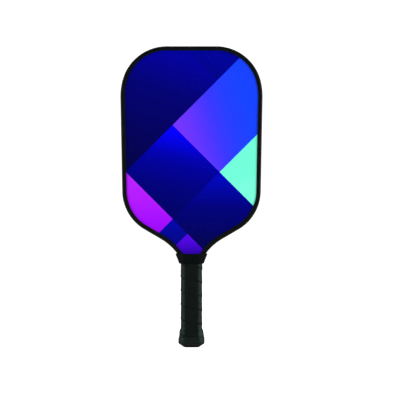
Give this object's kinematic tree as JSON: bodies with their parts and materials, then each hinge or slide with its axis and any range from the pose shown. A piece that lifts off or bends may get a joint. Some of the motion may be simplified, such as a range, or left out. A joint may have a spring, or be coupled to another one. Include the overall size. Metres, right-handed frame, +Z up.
{
  "type": "pickleball paddle",
  "caption": "Pickleball paddle: honeycomb blade with printed faces in a black edge guard, and a wrapped octagonal handle with a butt cap and a rubber collar.",
  "frame": {"origin": "centre of the butt's flat end, on the paddle's centre line", "axes": "+Z runs up the handle to the top of the head; +X is to the right when the printed front face is looked at with the handle down; the front face looks towards -Y and the back face towards +Y"},
  "size_m": [0.1922, 0.0366, 0.4064],
  "materials": {
    "core_polypropylene": "natural polypropylene, thermally bonded honeycomb",
    "scrim_polyester": "nonwoven polyester veil, wetted with resin",
    "printed_skin": "fibre composite skin with a satin print in navy, blue, violet, magenta and mint",
    "guard_plastic": "black extruded thermoplastic, soft satin",
    "pallet_foam": "moulded rigid polyurethane foam, charcoal",
    "cap_plastic": "black moulded thermoplastic, fine spark texture",
    "badge_plastic": "black blank end badge",
    "staple_steel": "galvanised wire",
    "wrap_polyurethane": "black polyurethane synthetic leather on a cushion backing, perforated",
    "tape_vinyl": "black vinyl electrical type tape",
    "collar_rubber": "black moulded rubber, satin"
  },
  "bodies": {
    "paddle": {"honeycomb_core": "core_polypropylene", "scrim_front": "scrim_polyester", "scrim_back": "scrim_polyester", "face_front": "printed_skin", "face_back": "printed_skin", "edge_guard": "guard_plastic", "pallet_front": "pallet_foam", "pallet_back": "pallet_foam", "butt_cap": "cap_plastic", "butt_badge": "badge_plastic", "wrap_staple": "staple_steel", "grip_wrap": "wrap_polyurethane", "finishing_tape": "tape_vinyl"},
    "collar": {"collar": "collar_rubber"}
  },
  "joints": [
    {"name": "collar_slide", "type": "slide", "parent": "paddle", "child": "collar", "axis": [0, 0, -1], "range_m": [0, 0.025]}
  ]
}
